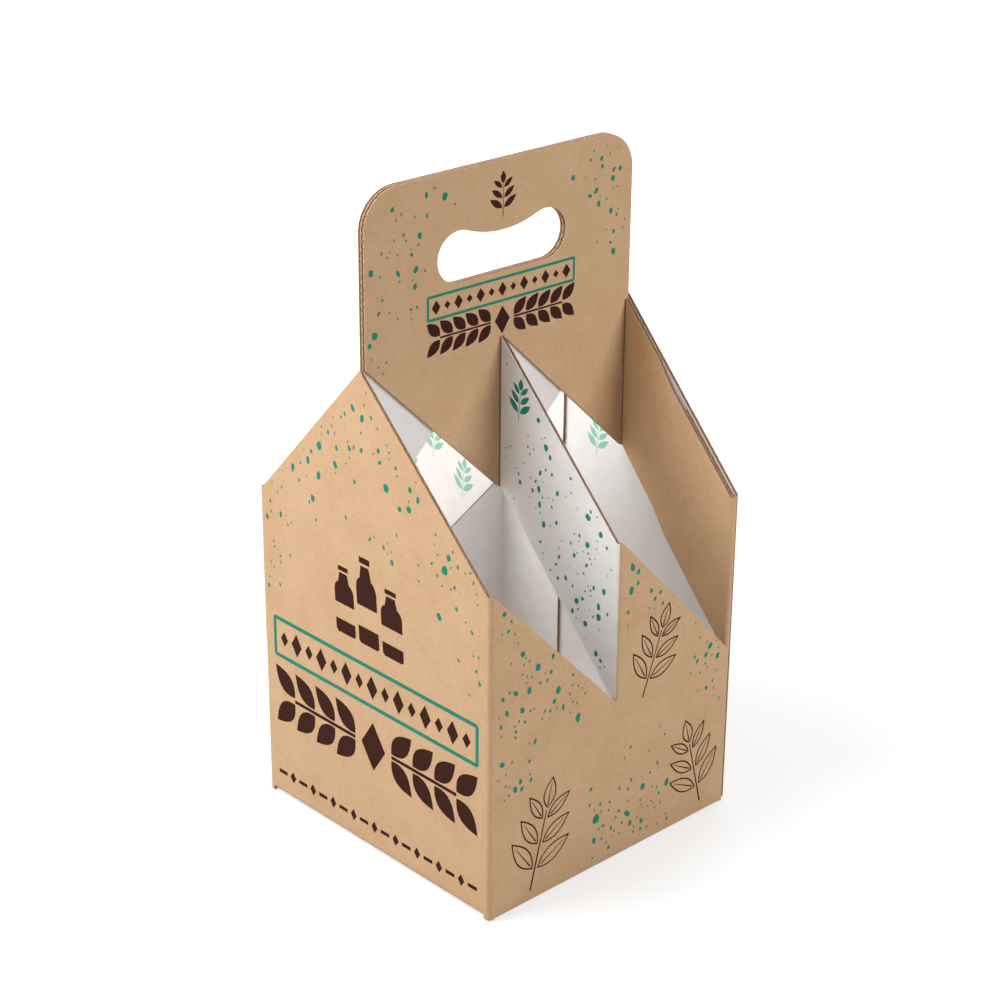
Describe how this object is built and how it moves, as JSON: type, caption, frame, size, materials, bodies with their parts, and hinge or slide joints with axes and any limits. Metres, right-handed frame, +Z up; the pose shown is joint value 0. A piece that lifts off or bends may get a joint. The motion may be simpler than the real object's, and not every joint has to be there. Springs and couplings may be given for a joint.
{
  "type": "bottle carrier",
  "caption": "Open basket carrier of folded corrugated board with a two-ply handle and slanted cross bands that keep standing bottles apart.",
  "frame": {"origin": "middle of the footprint, on the surface that the carrier stands on", "axes": "+Z up, X along the handle from the one-piece gable (-X) to the glued end panel (+X), -Y the near side wall"},
  "size_m": [0.13, 0.13, 0.266],
  "materials": {
    "kraft_board": "matte kraft liner outside, white liner inside"
  },
  "bodies": {
    "root": {"carrier_blank": "kraft_board", "end_panel": "kraft_board"}
  },
  "joints": []
}
